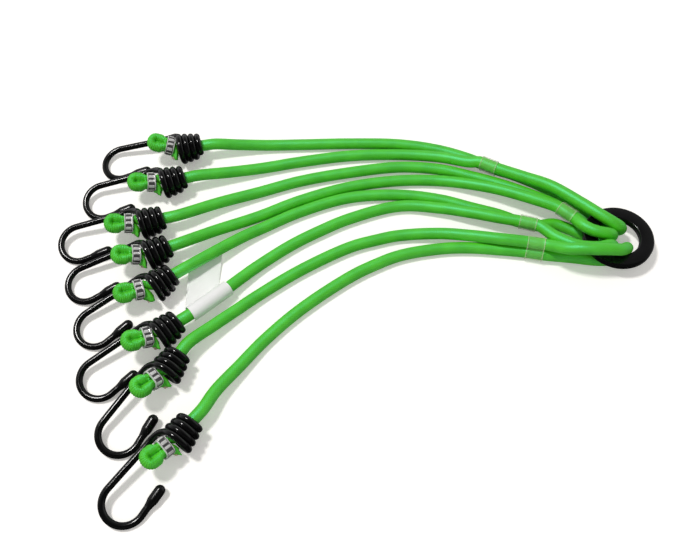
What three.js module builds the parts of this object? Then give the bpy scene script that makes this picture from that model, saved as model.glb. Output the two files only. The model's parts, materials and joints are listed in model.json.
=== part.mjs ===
// Eight-arm bungee strap: four elastic cords folded round one flat ring, a wire hook on each of the eight ends.
// Millimetres, +Z up, lying on a flat surface at Z = 0. The ring is on the right, the hooks fan out to the left.
import * as THREE from "three";

// Cords
const CORD_DIAMETER = 8.5;
const SHEATH_WALL = 0.8;
const CORE_CLEARANCE = 0.65;
const CORD_SIDES = 8;
const CORE_SIDES = 5;
const PIECE_GAP = 0.3;

// Ring, lying level on the lower legs of the four cords
const RING_OUTER_DIAMETER = 50;
const RING_BORE_DIAMETER = 30;
const RING_THICKNESS = 5.5;
const RING_EDGE_RADIUS = 2;
const RING_SEGMENTS = 32;
const RING_PLACE = new THREE.Vector2(198.2, 26.8);
const REST_GAP = 0.1;

// Clear sleeves, one round the two legs of each cord
const SLEEVE_LENGTH = 12;
const SLEEVE_WALL = 0.6;
const SLEEVE_CLEARANCE = 0.3;
const SLEEVE_END_STEPS = 5;
const SLEEVE_LEAD = 7;

// Hook wire: a conical coil, a straight stem, a U bend and a tip leg, all one wire. The coil lies level
// and the stem drops from the coil's axis to the surface
const WIRE_DIAMETER = 4.6;
const WIRE_SIDES = 5;
const COIL_TURNS = 3.4;
const COIL_TURN_GAP = 0.62;
const COIL_FRONT_DIAMETER = 23.4;
const COIL_BORE_CLEARANCE = 0.4;
const COIL_STEPS_PER_TURN = 8;
const COIL_EXIT_ANGLE = 140;
const STEM_DROP = 8.5;
const STEM_OFFSET = 10.8;
const STEM_LENGTH = 46.3;
const U_RADIUS = 13.2;
const U_STEPS = 8;
const TIP_LEG_LENGTH = 20;
const TIP_LEG_CLOSING = 2;

// Rounded plastic cap on each hook tip
const CAP_DIAMETER = 6.8;
const CAP_DEPTH = 13;
const CAP_END_WALL = 2.4;
const CAP_CLEARANCE = 0.3;
const CAP_SEGMENTS = 8;

// Folded cord end in front of each coil
const LOOP_LEG_GAP = 0.6;
const LOOP_LENGTH = 8.6;
const LOOP_BEND_STEPS = 4;
const TAIL_GAP = 1;

// Metal crimp round the folded end
const CRIMP_LENGTH = 6;
const CRIMP_WALL = 0.6;
const CRIMP_CLEARANCE = 0.45;
const CRIMP_SQUEEZE = 0.58;
const LOOP_SQUEEZE = 0.88;
const CRIMP_SQUEEZE_RUN = 4.5;
const CRIMP_CORNER_STEPS = 2;

// Label tag folded over the sixth cord, with a flag that lies on the surface
const TAG_ARM = 6;
const TAG_START = 8;
const TAG_LENGTH = 33;
const TAG_ROWS = 5;
const TAG_THICKNESS = 0.5;
const TAG_CLEARANCE = 0.9;
const TAG_FOLD_ANGLES = [205, 170, 135, 100, 65, 30, -5];
const TAG_FLAG_START = 10.5;
const TAG_FLAG_REACH = [0, 10, 20, 28];
const TAG_FLAG_HEADING = 88;

// Middle of the layout, moved to the origin
const LAYOUT_MIDDLE = new THREE.Vector3(10.32, -27.24, 0.09);

// Each arm end: middle of the coil's front turn, heading and roll of the hook, reach from coil to crimp,
// and the sideways turn and lift of the folded cord end
const ARM_ENDS = [
  { front: [-121.9, 107.9], heading: -170.8, roll: -6, crimp: 7.9, turn: -13, lift: 19 },
  { front: [-131.5, 75.7], heading: -164.8, roll: -12, crimp: 8.8, turn: -7, lift: 13 },
  { front: [-143.3, 39.1], heading: -163.9, roll: -13, crimp: 8.8, turn: -9, lift: 11 },
  { front: [-135.8, 12.6], heading: -156.4, roll: -7, crimp: 7.9, turn: -14, lift: 17 },
  { front: [-129.2, -13.5], heading: -144.5, roll: -6, crimp: 9.6, turn: -14, lift: 13 },
  { front: [-121.5, -50], heading: -142.9, roll: -9, crimp: 7.6, turn: -14, lift: 18 },
  { front: [-114.6, -77.4], heading: -123.2, roll: -12, crimp: 8.2, turn: -14, lift: 18 },
  { front: [-102.9, -122.8], heading: -127.3, roll: -14, crimp: 7.4, turn: -10, lift: 12 },
];

// Sleeves: middle, heading and climb of the axis, and lean of the line from the first leg to the second
const SLEEVES = {
  a: { middle: [112.9, 93, 9.1], heading: -27, climb: 1, lean: -58 },
  b: { middle: [165, 48.4, 11.8], heading: -41, climb: -1, lean: -48 },
  c: { middle: [136, 40.8, 9.3], heading: -17, climb: 3, lean: -58 },
  d: { middle: [138.5, 19.3, 9.6], heading: -12, climb: 3, lean: -113 },
};

// Cord routes, hand-chosen points: an arm from its coil to its sleeve, the loop round the ring from the upper leg
// down through the ring to the lower leg, and the other arm from its sleeve to its coil
const CORD_ROUTES = [
  {
    name: "a", arms: [2, 1],
    first: [
      [-83, 88.2, 7.8], [-58, 94.3, 5], [-31, 100.4, 4.4], [8, 106.5, 4.4], [46, 107.5, 4.6], [77, 103.2, 7],
      [98, 95.5, 10.8],
    ],
    loop: [
      [136, 79.4, 14], [154.6, 70, 15.6], [173.6, 53, 18.3], [187, 40.5, 19.4], [194.5, 35.5, 18.2], [199.8, 33.9, 15],
      [201.4, 34.4, 11.4], [199.9, 36.2, 7.6], [196.5, 40, 4.9], [191.5, 45.5, 4.4], [182.5, 54.5, 4.4],
      [168, 66, 4.8], [150, 78, 5], [131, 88, 5.1],
    ],
    second: [
      [99, 103, 5.1], [77, 111.8, 4.4], [47, 117.5, 4.4], [8, 118.5, 4.4], [-31, 117.5, 4.4], [-55, 116.5, 5],
      [-77, 114.5, 8],
    ],
  },
  {
    name: "b", arms: [4, 3],
    first: [
      [-91, 35, 7.8], [-60, 49.5, 4.8], [-30, 64, 4.4], [7.5, 76.8, 4.4], [45, 82.7, 4.4], [75.5, 82.3, 4.8],
      [97, 77, 8], [118, 69.4, 11.5], [144, 57.5, 14.5],
    ],
    loop: [
      [172.2, 33.5, 18.3], [177.6, 28.9, 19.2], [183.4, 26.6, 19.3], [188.8, 26.3, 18.2], [192.8, 27.4, 15],
      [194.2, 28.8, 11.4], [192.8, 30.9, 7.4], [189.3, 33.2, 5], [184.5, 37.4, 4.4], [179.5, 42.4, 4.7],
    ],
    second: [
      [145, 65.3, 8.2], [119, 78.3, 6.5], [98, 86.4, 5.3], [76, 93.2, 4.5], [46, 95.6, 4.4], [8, 90.5, 4.4],
      [-30, 82.2, 4.4], [-60, 71.8, 4.7], [-89, 60.5, 7.2],
    ],
  },
  {
    name: "c", arms: [6, 5],
    first: [
      [-84, -18, 8.2], [-60, 5.5, 5], [-35, 25, 4.4], [-15, 37, 4.4], [7, 48, 4.4], [44.5, 59.3, 4.4],
      [74, 56, 6.6], [96, 49.8, 9.7], [116, 43.8, 11.8],
    ],
    loop: [
      [152.2, 25.4, 15.8], [159.7, 19.4, 17.8], [167.6, 15.3, 18.9], [181.4, 14.3, 19.2], [187.2, 15.8, 19],
      [191.2, 17.7, 16], [192.9, 19.4, 11.5], [191.4, 21.4, 7.5], [188.4, 24, 5], [183, 27.5, 4.4], [175, 34, 4.4],
      [166, 39.2, 4.5], [156, 43, 4.8],
    ],
    second: [
      [117.5, 50.8, 5.1], [97, 57.7, 4.7], [74.5, 65, 4.4], [45, 69.3, 4.4], [7, 66.9, 4.4], [-30, 53.8, 4.4],
      [-55, 40.3, 4.8], [-71, 30.5, 6.2],
    ],
  },
  {
    name: "d", arms: [7, 8],
    first: [
      [-84.5, -40.6, 8.2], [-70, -27.8, 6.1], [-58, -17.5, 4.8], [-28.3, 3.8, 4.4], [7, 23.2, 4.4],
      [25, 29.1, 4.4], [43.5, 33.4, 4.4], [72.5, 33.7, 6.6], [93, 30, 9.7], [114, 25.2, 12.8],
    ],
    loop: [
      [157.9, 11.4, 21.8], [165.7, 9.4, 25], [173.6, 8.4, 26], [186.2, 8.7, 25.2], [195.5, 10.8, 21.5],
      [200.8, 15, 16.8], [202.3, 17.3, 11.4], [200.5, 16.7, 7.5], [196.4, 14.5, 5], [190, 12.8, 4.4],
      [182.3, 12.6, 4.5], [164, 14.6, 5],
    ],
    second: [
      [115, 21, 4.8], [93, 22.8, 4.5], [72, 22, 4.4], [43, 16.3, 4.4], [25, 8.6, 4.4], [7, -1.5, 4.4],
      [-27.2, -27.4, 4.4], [-50.4, -50.2, 4.5], [-66, -69.8, 6], [-80, -88.5, 8.8],
    ],
  },
];

const HALF_TURN = Math.PI;
const FULL_TURN = 2 * Math.PI;
const cordRadius = CORD_DIAMETER / 2;
const boreRadius = cordRadius - SHEATH_WALL;
const coreRadius = boreRadius - CORE_CLEARANCE;
const wireRadius = WIRE_DIAMETER / 2;
const coilPitch = WIRE_DIAMETER + COIL_TURN_GAP;
const coilLength = COIL_TURNS * coilPitch;
const coilFrontRadius = COIL_FRONT_DIAMETER / 2 - wireRadius;
const coilRearRadius = cordRadius + COIL_BORE_CLEARANCE + wireRadius;
const mouth = -coilLength;
const frontHeight = COIL_FRONT_DIAMETER / 2 + REST_GAP;
const legOffset = cordRadius + PIECE_GAP / 2;
const loopLegOffset = cordRadius + LOOP_LEG_GAP / 2;
const ringHeight = REST_GAP + CORD_DIAMETER + PIECE_GAP + RING_THICKNESS / 2;

const finish = {
  sheath: new THREE.MeshStandardMaterial({ color: 0x3cb42c, roughness: 0.55, metalness: 0 }),
  core: new THREE.MeshStandardMaterial({ color: 0xd9cfae, roughness: 0.8, metalness: 0 }),
  ring: new THREE.MeshStandardMaterial({ color: 0x0b0b0b, roughness: 0.35, metalness: 0 }),
  sleeve: new THREE.MeshStandardMaterial({
    color: 0xf2f0c8, roughness: 0.1, metalness: 0, transparent: true, opacity: 0.4,
  }),
  hook: new THREE.MeshStandardMaterial({ color: 0x0a0a0a, roughness: 0.2, metalness: 0 }),
  crimp: new THREE.MeshStandardMaterial({ color: 0xc8c8c6, roughness: 0.2, metalness: 1 }),
  tag: new THREE.MeshStandardMaterial({ color: 0xf6f5f2, roughness: 0.7, metalness: 0 }),
};

const degrees = (angle) => THREE.MathUtils.degToRad(angle);

// A curve through its points whose steps fall evenly between the points, so that close points give fine steps
class PointCurve extends THREE.CatmullRomCurve3 {
  getPointAt(share, target) {
    return this.getPoint(share, target);
  }

  getTangentAt(share, target) {
    return this.getTangent(share, target);
  }
}

function roundOutline(radius, sides) {
  const points = [];
  for (let side = 0; side < sides; side += 1) {
    const angle = (FULL_TURN * side) / sides;
    points.push(new THREE.Vector2(radius * Math.cos(angle), radius * Math.sin(angle)));
  }
  return points;
}

function tube(points, section) {
  const extrudePath = new PointCurve(points);
  return new THREE.ExtrudeGeometry(section, { steps: points.length - 1, extrudePath, bevelEnabled: false });
}

function sheathSection() {
  const section = new THREE.Shape(roundOutline(cordRadius, CORD_SIDES));
  section.holes.push(new THREE.Path(roundOutline(boreRadius, CORE_SIDES)));
  return section;
}

function coreSection() {
  return new THREE.Shape(roundOutline(coreRadius, CORE_SIDES));
}

// Closed outline of a slot with round ends, long in x
function slotOutline(halfStraight, radius, endSteps) {
  const points = [];
  for (const side of [1, -1]) {
    for (let step = 0; step <= endSteps; step += 1) {
      const angle = -HALF_TURN / 2 + (HALF_TURN * step) / endSteps + (side > 0 ? 0 : HALF_TURN);
      points.push(new THREE.Vector2(side * halfStraight + radius * Math.cos(angle), radius * Math.sin(angle)));
    }
  }
  return points;
}

// A straight band of the given outline and hole, run along x and centred on the origin
function band(outline, hole, length) {
  const section = new THREE.Shape(outline);
  section.holes.push(new THREE.Path(hole));
  const geometry = new THREE.ExtrudeGeometry(section, { depth: length, steps: 1, bevelEnabled: false });
  geometry.translate(0, 0, -length / 2);
  geometry.rotateX(HALF_TURN / 2);
  geometry.rotateZ(HALF_TURN / 2);
  return geometry;
}

function addMesh(parent, name, geometry, material) {
  const mesh = new THREE.Mesh(geometry, material);
  mesh.name = name;
  parent.add(mesh);
  return mesh;
}

// Centre line of the hook wire in the coil's frame: x towards the hook, y towards the tip side, z up
function hookWirePoints() {
  const points = [];
  const coilSteps = Math.round(COIL_TURNS * COIL_STEPS_PER_TURN);
  const chordReach = 1 / Math.cos(HALF_TURN / COIL_STEPS_PER_TURN);
  for (let step = 0; step <= coilSteps; step += 1) {
    const share = step / coilSteps;
    const angle = degrees(COIL_EXIT_ANGLE) - FULL_TURN * COIL_TURNS * (1 - share);
    const swell = Math.sin((HALF_TURN / 2) * share);
    const radius = THREE.MathUtils.lerp(coilRearRadius * chordReach, coilFrontRadius, swell);
    const along = -coilLength * (1 - share);
    points.push(new THREE.Vector3(along, radius * Math.cos(angle), radius * Math.sin(angle)));
  }
  const leave = points[points.length - 1];
  const coilPoints = points.length;
  points.push(new THREE.Vector3(0.6 * WIRE_DIAMETER, (leave.y - 3 * STEM_OFFSET) / 4, 0.45 * leave.z));
  points.push(new THREE.Vector3(1.6 * WIRE_DIAMETER, -STEM_OFFSET, 0.1 * leave.z));
  points.push(new THREE.Vector3(3 * WIRE_DIAMETER, -STEM_OFFSET, 0));
  const bendCentre = new THREE.Vector2(STEM_LENGTH, U_RADIUS - STEM_OFFSET);
  for (let step = 0; step <= U_STEPS; step += 1) {
    const angle = -HALF_TURN / 2 + (HALF_TURN * step) / U_STEPS;
    const x = bendCentre.x + U_RADIUS * Math.cos(angle);
    points.push(new THREE.Vector3(x, bendCentre.y + U_RADIUS * Math.sin(angle), 0));
  }
  const legStart = points[points.length - 1];
  const legEnd = new THREE.Vector3(legStart.x - TIP_LEG_LENGTH, legStart.y - TIP_LEG_CLOSING, 0);
  points.push(new THREE.Vector3().lerpVectors(legStart, legEnd, 0.3));
  points.push(legEnd);
  const drop = new THREE.Euler(0, degrees(STEM_DROP), 0);
  for (const point of points.slice(coilPoints)) {
    point.applyEuler(drop);
  }
  return points;
}

// Least clear distance between the wire's own turns, measured between points at least half a turn apart
function leastTurnGap(points) {
  const curve = new PointCurve(points);
  const samples = curve.getPoints((points.length - 1) * 4);
  let least = Infinity;
  for (let first = 0; first < samples.length; first += 1) {
    for (let second = first + COIL_STEPS_PER_TURN * 2; second < samples.length; second += 1) {
      least = Math.min(least, samples[first].distanceTo(samples[second]));
    }
  }
  return least - WIRE_DIAMETER;
}

function capGeometry() {
  const outer = CAP_DIAMETER / 2;
  const inner = wireRadius + CAP_CLEARANCE;
  const profile = [
    new THREE.Vector2(0, CAP_END_WALL),
    new THREE.Vector2(0.55 * outer, 0.85 * CAP_END_WALL),
    new THREE.Vector2(0.9 * outer, 0.3 * CAP_END_WALL),
    new THREE.Vector2(outer, -0.5 * CAP_END_WALL),
    new THREE.Vector2(outer, -CAP_DEPTH),
    new THREE.Vector2(inner, -CAP_DEPTH),
    new THREE.Vector2(inner, 0),
    new THREE.Vector2(0, 0),
  ].reverse();
  return new THREE.LatheGeometry(profile, CAP_SEGMENTS);
}

function ringGeometry() {
  const outer = RING_OUTER_DIAMETER / 2;
  const inner = RING_BORE_DIAMETER / 2;
  const half = RING_THICKNESS / 2;
  const edge = RING_EDGE_RADIUS;
  const slope = edge * Math.SQRT1_2;
  const profile = [
    new THREE.Vector2(inner, edge - half),
    new THREE.Vector2(inner + edge - slope, edge - half - slope),
    new THREE.Vector2(inner + edge, -half),
    new THREE.Vector2(outer - edge, -half),
    new THREE.Vector2(outer - edge + slope, edge - half - slope),
    new THREE.Vector2(outer, edge - half),
    new THREE.Vector2(outer, half - edge),
    new THREE.Vector2(outer - edge + slope, half - edge + slope),
    new THREE.Vector2(outer - edge, half),
    new THREE.Vector2(inner + edge, half),
    new THREE.Vector2(inner + edge - slope, half - edge + slope),
    new THREE.Vector2(inner, half - edge),
    new THREE.Vector2(inner, edge - half),
  ];
  const geometry = new THREE.LatheGeometry(profile, RING_SEGMENTS);
  geometry.rotateX(HALF_TURN / 2);
  return geometry;
}

// Pitch that brings the hook's lowest point just clear of the surface for a given roll
function restPitch(points, roll) {
  let low = -STEM_DROP;
  let high = 2 * STEM_DROP;
  const turn = new THREE.Euler();
  for (let round = 0; round < 24; round += 1) {
    const pitch = (low + high) / 2;
    turn.set(degrees(roll), degrees(pitch), 0, "ZYX");
    const hook = points.filter((point) => point.x > WIRE_DIAMETER);
    const lowest = Math.min(...hook.map((point) => point.clone().applyEuler(turn).z));
    if (frontHeight + lowest - wireRadius > REST_GAP) {
      low = pitch;
    } else {
      high = pitch;
    }
  }
  return low;
}

function loopTurn(end) {
  return new THREE.Euler(0, degrees(-end.lift), degrees(end.turn), "ZYX");
}

// Folded cord end in the coil's frame: through the coil, out, round the loop and back to the cut tail
function cordEndPoints(end) {
  const turn = loopTurn(end);
  const bendStart = end.crimp + LOOP_LENGTH;
  const grip = CRIMP_LENGTH / 2 + 1;
  const flat = [
    [end.crimp - grip, -loopLegOffset],
    [end.crimp, -loopLegOffset],
    [end.crimp + grip, -loopLegOffset],
  ];
  for (let step = 0; step <= LOOP_BEND_STEPS; step += 1) {
    const angle = -HALF_TURN / 2 + (HALF_TURN * step) / LOOP_BEND_STEPS;
    flat.push([bendStart + loopLegOffset * Math.cos(angle), loopLegOffset * Math.sin(angle)]);
  }
  flat.push([end.crimp + grip, loopLegOffset]);
  flat.push([end.crimp, loopLegOffset]);
  flat.push([end.crimp - CRIMP_LENGTH / 2 - PIECE_GAP, loopLegOffset]);
  flat.push([Math.min(wireRadius + TAIL_GAP, end.crimp - CRIMP_LENGTH / 2 - 1.5), loopLegOffset]);
  const points = [
    new THREE.Vector3(mouth + PIECE_GAP, 0, 0),
    new THREE.Vector3(0.55 * mouth, 0, 0),
    new THREE.Vector3(0.15 * mouth, -0.25 * loopLegOffset, 0),
  ];
  for (const [along, across] of flat) {
    points.push(new THREE.Vector3(along, across, 0).applyEuler(turn));
  }
  return points;
}

// Draws the two legs of a folded end together where the crimp grips them
function squeezeLegs(geometry, end) {
  const toCoil = new THREE.Matrix4().makeRotationFromEuler(loopTurn(end));
  const toLoop = toCoil.clone().invert();
  const places = geometry.getAttribute("position");
  const point = new THREE.Vector3();
  for (let index = 0; index < places.count; index += 1) {
    point.fromBufferAttribute(places, index).applyMatrix4(toLoop);
    const beyond = Math.abs(point.x - end.crimp) - CRIMP_LENGTH / 2;
    const grip = 1 - THREE.MathUtils.smoothstep(beyond, 1.2, CRIMP_SQUEEZE_RUN);
    const inCoil = THREE.MathUtils.smoothstep(end.crimp - point.x, 3, 10);
    const loose = THREE.MathUtils.lerp(LOOP_SQUEEZE, 1, inCoil);
    point.y *= THREE.MathUtils.lerp(loose, CRIMP_SQUEEZE, grip);
    point.applyMatrix4(toCoil);
    places.setXYZ(index, point.x, point.y, point.z);
  }
  return geometry;
}

function crimpGeometry() {
  const halfWidth = (loopLegOffset + cordRadius) * CRIMP_SQUEEZE + CRIMP_CLEARANCE;
  const halfHeight = cordRadius + CRIMP_CLEARANCE;
  const inner = roundedBox(halfWidth, halfHeight, 0.6 * halfHeight);
  const outer = roundedBox(halfWidth + CRIMP_WALL, halfHeight + CRIMP_WALL, 0.6 * halfHeight + CRIMP_WALL);
  return band(outer, inner, CRIMP_LENGTH);
}

function roundedBox(halfWidth, halfHeight, corner) {
  const points = [];
  const quarters = [[1, 1], [-1, 1], [-1, -1], [1, -1]];
  quarters.forEach(([right, up], quarter) => {
    for (let step = 0; step <= CRIMP_CORNER_STEPS; step += 1) {
      const angle = (HALF_TURN / 2) * (quarter + step / CRIMP_CORNER_STEPS);
      const x = right * (halfWidth - corner) + corner * Math.cos(angle);
      points.push(new THREE.Vector2(x, up * (halfHeight - corner) + corner * Math.sin(angle)));
    }
  });
  return points;
}

// A closed thin sheet from a grid of points on its middle surface
function sheetSolid(grid, thickness) {
  const rows = grid.length;
  const columns = grid[0].length;
  const places = [];
  for (const side of [0.5, -0.5]) {
    for (let row = 0; row < rows; row += 1) {
      for (let column = 0; column < columns; column += 1) {
        const along = new THREE.Vector3().subVectors(
          grid[Math.min(row + 1, rows - 1)][column],
          grid[Math.max(row - 1, 0)][column],
        );
        const across = new THREE.Vector3().subVectors(
          grid[row][Math.min(column + 1, columns - 1)],
          grid[row][Math.max(column - 1, 0)],
        );
        const normal = along.cross(across).normalize();
        const place = grid[row][column].clone().addScaledVector(normal, side * thickness);
        places.push(place.x, place.y, place.z);
      }
    }
  }
  const upper = (row, column) => row * columns + column;
  const lower = (row, column) => rows * columns + upper(row, column);
  const faces = [];
  const quad = (first, second, third, fourth) => faces.push(first, second, third, first, third, fourth);
  for (let row = 0; row < rows - 1; row += 1) {
    for (let column = 0; column < columns - 1; column += 1) {
      quad(upper(row, column), upper(row + 1, column), upper(row + 1, column + 1), upper(row, column + 1));
      quad(lower(row, column), lower(row, column + 1), lower(row + 1, column + 1), lower(row + 1, column));
    }
  }
  for (let row = 0; row < rows - 1; row += 1) {
    quad(upper(row, 0), lower(row, 0), lower(row + 1, 0), upper(row + 1, 0));
    quad(upper(row + 1, columns - 1), lower(row + 1, columns - 1), lower(row, columns - 1), upper(row, columns - 1));
  }
  for (let column = 0; column < columns - 1; column += 1) {
    quad(upper(0, column + 1), lower(0, column + 1), lower(0, column), upper(0, column));
    quad(upper(rows - 1, column), lower(rows - 1, column), lower(rows - 1, column + 1), upper(rows - 1, column + 1));
  }
  const geometry = new THREE.BufferGeometry();
  geometry.setAttribute("position", new THREE.Float32BufferAttribute(places, 3));
  geometry.setIndex(faces);
  geometry.computeVertexNormals();
  return geometry;
}

const strap = new THREE.Group();
strap.name = "bungee_strap";
const layout = new THREE.Group();
layout.position.copy(LAYOUT_MIDDLE).negate();
strap.add(layout);

// Ring
const ring = addMesh(layout, "ring", ringGeometry(), finish.ring);
ring.position.set(RING_PLACE.x, RING_PLACE.y, ringHeight);

// Arm ends
const wirePoints = hookWirePoints();
console.log(`least gap between a hook coil's turns: ${leastTurnGap(wirePoints).toFixed(2)} mm`);
const wireGeometry = tube(wirePoints, new THREE.Shape(roundOutline(wireRadius, WIRE_SIDES)));
const tipEnd = wirePoints[wirePoints.length - 1];
const tipRun = new THREE.Vector3().subVectors(tipEnd, wirePoints[wirePoints.length - 2]).normalize();
const armFrames = ARM_ENDS.map((end, index) => {
  const number = index + 1;
  const seat = new THREE.Group();
  seat.position.set(end.front[0], end.front[1], frontHeight);
  seat.rotation.set(degrees(end.roll), degrees(restPitch(wirePoints, end.roll)), degrees(end.heading), "ZYX");
  layout.add(seat);
  addMesh(seat, `hook_${number}`, wireGeometry, finish.hook);
  const cap = addMesh(seat, `hook_tip_cap_${number}`, capGeometry(), finish.hook);
  cap.position.copy(tipEnd).addScaledVector(tipRun, CAP_CLEARANCE);
  cap.quaternion.setFromUnitVectors(new THREE.Vector3(0, 1, 0), tipRun);
  const endPoints = cordEndPoints(end);
  const sheath = squeezeLegs(tube(endPoints, sheathSection()), end);
  addMesh(seat, `cord_end_sheath_${number}`, sheath, finish.sheath);
  const core = squeezeLegs(tube(endPoints, coreSection()), end);
  addMesh(seat, `cord_end_core_${number}`, core, finish.core);
  const loop = new THREE.Group();
  loop.rotation.copy(loopTurn(end));
  seat.add(loop);
  const crimp = addMesh(loop, `crimp_${number}`, crimpGeometry(), finish.crimp);
  crimp.position.set(end.crimp, 0, 0);
  seat.updateMatrix();
  return seat.matrix.clone();
});

// Point on a sleeve's axis frame: along the axis and on the first (-1) or second (1) leg
function sleevePoint(place, leg, along) {
  const turn = new THREE.Euler(degrees(place.lean), degrees(-place.climb), degrees(place.heading), "ZYX");
  return new THREE.Vector3(along, leg * legOffset, 0).applyEuler(turn).add(new THREE.Vector3(...place.middle));
}

// Cords and sleeves
const legRadius = cordRadius + SLEEVE_CLEARANCE;
for (const route of CORD_ROUTES) {
  const place = SLEEVES[route.name];
  const [firstArm, lastArm] = route.arms;
  const lead = (arm, along) => new THREE.Vector3(along, 0, 0).applyMatrix4(armFrames[arm - 1]);
  const chosen = (list) => list.map((point) => new THREE.Vector3(...point));
  const points = [
    lead(firstArm, mouth),
    lead(firstArm, mouth - CORD_DIAMETER),
    ...chosen(route.first),
    sleevePoint(place, -1, -SLEEVE_LEAD),
    sleevePoint(place, -1, SLEEVE_LEAD),
    ...chosen(route.loop),
    sleevePoint(place, 1, SLEEVE_LEAD),
    sleevePoint(place, 1, -SLEEVE_LEAD),
    ...chosen(route.second),
    lead(lastArm, mouth - CORD_DIAMETER),
    lead(lastArm, mouth),
  ];
  addMesh(layout, `cord_sheath_${route.name}`, tube(points, sheathSection()), finish.sheath);
  addMesh(layout, `cord_core_${route.name}`, tube(points, coreSection()), finish.core);
  const inner = slotOutline(legOffset, legRadius, SLEEVE_END_STEPS);
  const outer = slotOutline(legOffset, legRadius + SLEEVE_WALL, SLEEVE_END_STEPS);
  const sleeve = addMesh(layout, `sleeve_${route.name}`, band(outer, inner, SLEEVE_LENGTH), finish.sleeve);
  sleeve.position.set(...place.middle);
  sleeve.rotation.set(degrees(place.lean), degrees(-place.climb), degrees(place.heading), "ZYX");
}

// Tag
const tagRoute = CORD_ROUTES.find((route) => route.arms[0] === TAG_ARM);
const tagLine = new PointCurve([
  new THREE.Vector3(mouth, 0, 0).applyMatrix4(armFrames[TAG_ARM - 1]),
  new THREE.Vector3(mouth - CORD_DIAMETER, 0, 0).applyMatrix4(armFrames[TAG_ARM - 1]),
  ...tagRoute.first.slice(0, 3).map((point) => new THREE.Vector3(...point)),
]);
const tagLineLength = tagLine.getLength();
const tagGrid = [];
const tagRadius = cordRadius + TAG_CLEARANCE + TAG_THICKNESS / 2;
const flagRun = new THREE.Vector3(Math.cos(degrees(TAG_FLAG_HEADING)), Math.sin(degrees(TAG_FLAG_HEADING)), 0);
for (let row = 0; row < TAG_ROWS; row += 1) {
  const reach = (TAG_START + (TAG_LENGTH * row) / (TAG_ROWS - 1)) / tagLineLength;
  const share = tagLine.getUtoTmapping(reach);
  const middle = tagLine.getPoint(share);
  const run = tagLine.getTangent(share);
  const side = new THREE.Vector3(-run.y, run.x, 0).normalize();
  const top = new THREE.Vector3().crossVectors(run, side);
  const points = TAG_FOLD_ANGLES.map((angle) => middle.clone()
    .addScaledVector(side, tagRadius * Math.cos(degrees(angle)))
    .addScaledVector(top, tagRadius * Math.sin(degrees(angle))));
  const foot = middle.clone().addScaledVector(side, TAG_FLAG_START).setZ(REST_GAP + TAG_THICKNESS);
  for (const reachOut of TAG_FLAG_REACH) {
    points.push(foot.clone().addScaledVector(flagRun, reachOut));
  }
  tagGrid.push(points);
}
addMesh(layout, "tag", sheetSolid(tagGrid, TAG_THICKNESS), finish.tag);

export default strap;
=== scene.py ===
"""Looks of the eight-arm bungee strap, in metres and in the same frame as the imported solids."""

import json
import math

import bpy
import numpy as np
from mathutils import Matrix, Vector


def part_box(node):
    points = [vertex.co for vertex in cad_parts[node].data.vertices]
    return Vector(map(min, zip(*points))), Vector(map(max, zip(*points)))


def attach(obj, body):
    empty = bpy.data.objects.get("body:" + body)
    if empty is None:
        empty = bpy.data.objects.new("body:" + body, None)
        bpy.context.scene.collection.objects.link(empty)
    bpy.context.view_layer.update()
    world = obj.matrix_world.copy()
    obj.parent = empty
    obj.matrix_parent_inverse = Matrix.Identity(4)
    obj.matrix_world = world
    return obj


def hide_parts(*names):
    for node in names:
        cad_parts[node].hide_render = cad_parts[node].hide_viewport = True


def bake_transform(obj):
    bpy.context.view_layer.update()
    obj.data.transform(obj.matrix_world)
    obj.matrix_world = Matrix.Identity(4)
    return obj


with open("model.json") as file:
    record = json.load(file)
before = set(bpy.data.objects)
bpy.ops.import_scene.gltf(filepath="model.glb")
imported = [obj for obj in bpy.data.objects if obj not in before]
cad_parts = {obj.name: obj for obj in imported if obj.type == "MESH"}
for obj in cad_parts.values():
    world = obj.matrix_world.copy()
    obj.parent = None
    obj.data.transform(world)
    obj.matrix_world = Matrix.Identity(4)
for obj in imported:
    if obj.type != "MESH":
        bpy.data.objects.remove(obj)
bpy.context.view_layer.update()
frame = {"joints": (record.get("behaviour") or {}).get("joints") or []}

# Cords
CORD_RADIUS = 0.00425
CORD_SIDES = 28
CORD_STEP = 0.00042
ROUTE_SPAN_STEPS = 40
RIB_PITCH = 0.00168
RIB_DEPTH = 0.00003

# Straight run behind each coil
COIL_LEAD = 0.0085

# Ring
RING_OUTER = 0.025
RING_BORE = 0.015
RING_THICKNESS = 0.0055
RING_EDGE = 0.0014
RING_EDGE_STEPS = 6
RING_SEGMENTS = 128

# Clear sleeves
SLEEVE_LENGTH = 0.012
SLEEVE_WALL = 0.0006
SLEEVE_CLEARANCE = 0.0003
SLEEVE_LEAD = 0.007
SLEEVE_ROUND_STEPS = 20
SLEEVE_ROWS = 25
LEG_OFFSET = 0.0044

# Hook wire
WIRE_RADIUS = 0.0023
WIRE_SIDES = 20
WIRE_STEP = 0.00075
WIRE_SPAN_STEPS = 12
WIRE_CUT_END = 0.82
COIL_TURNS = 3.4
COIL_PITCH = 0.00522
COIL_FRONT_RADIUS = 0.0096
COIL_REAR_RADIUS = 0.0069
COIL_TAPER = 0.8
COIL_SIDE_SHIFT = 0.0012
COIL_RISE = 0.0002
COIL_STEPS = 130
WIRE_PITCH = 0.0045
COIL_EXIT_ANGLE = 145
COIL_CLEARANCE = 0.0001
STEM_DROP = 8.5
STEM_OFFSET = 0.0108
STEM_LENGTH = 0.0463
U_RADIUS = 0.0132
U_STEPS = 32
TIP_LEG_LENGTH = 0.02
TIP_LEG_CLOSING = 0.002
TIP_LEG_SHARES = (0.3, 1.0)
COIL_LENGTH = COIL_TURNS * COIL_PITCH

# From coil to stem: wire diameters ahead, and the shares of the coil's side and height that are left
STEM_START = ((0.6, 0.25, 0.45), (1.6, 0.0, 0.1), (3.0, 0.0, 0.0))

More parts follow.
